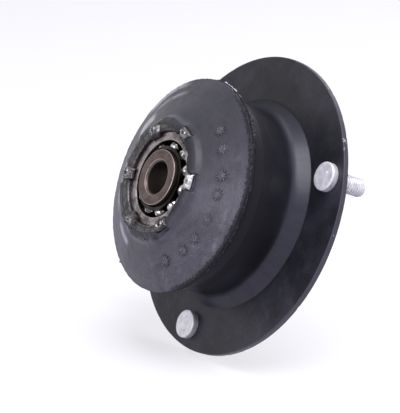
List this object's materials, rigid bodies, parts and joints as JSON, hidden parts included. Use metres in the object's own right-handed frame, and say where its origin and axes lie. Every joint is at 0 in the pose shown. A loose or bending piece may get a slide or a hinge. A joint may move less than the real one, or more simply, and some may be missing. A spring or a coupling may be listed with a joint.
{
  "type": "strut mount",
  "caption": "Round strut top mount: a steel stud flange bonded by rubber to an alloy hub with a staked self-aligning ball bearing for the strut rod.",
  "frame": {"origin": "on the bearing axis, in the flange's seating face where the studs leave it", "axes": "+Z along the bearing axis towards the bearing side, so the studs point down and the part stands on their ends; one stud lies on -X"},
  "size_m": [0.134, 0.134, 0.0655],
  "materials": {
    "flange_paint": "satin black dip coat",
    "stud_zinc": "matt zinc plate",
    "rubber": "moulded rubber, dusty sheen",
    "hub_alloy": "turned, dulled",
    "race_steel": "turned bearing steel, greasy",
    "cage_steel": "pressed steel, greasy",
    "ball_steel": "polished"
  },
  "bodies": {
    "mount": {"flange_plate": "flange_paint", "studs": "stud_zinc", "rubber_body": "rubber", "bearing_hub": "hub_alloy", "outer_race": "race_steel"},
    "ball_cage": {"cage_upper": "cage_steel", "cage_lower": "cage_steel", "ball_upper_1": "ball_steel", "ball_upper_2": "ball_steel", "ball_upper_3": "ball_steel", "ball_upper_4": "ball_steel", "ball_upper_5": "ball_steel", "ball_upper_6": "ball_steel", "ball_upper_7": "ball_steel", "ball_upper_8": "ball_steel", "ball_upper_9": "ball_steel", "ball_upper_10": "ball_steel", "ball_upper_11": "ball_steel", "ball_lower_1": "ball_steel", "ball_lower_2": "ball_steel", "ball_lower_3": "ball_steel", "ball_lower_4": "ball_steel", "ball_lower_5": "ball_steel", "ball_lower_6": "ball_steel", "ball_lower_7": "ball_steel", "ball_lower_8": "ball_steel", "ball_lower_9": "ball_steel", "ball_lower_10": "ball_steel", "ball_lower_11": "ball_steel"},
    "inner_ring": {"inner_race": "race_steel"}
  },
  "joints": [
    {"name": "inner_spin", "type": "hinge", "parent": "mount", "child": "inner_ring", "pos_m": [0, 0, 0.0395], "axis": [0, 0, 1], "continuous": true},
    {"name": "cage_orbit", "type": "hinge", "parent": "mount", "child": "ball_cage", "pos_m": [0, 0, 0.0395], "axis": [0, 0, 1], "continuous": true}
  ],
  "couplings": [
    {"joint": "cage_orbit", "follows": "inner_spin", "ratio": 0.3932}
  ]
}
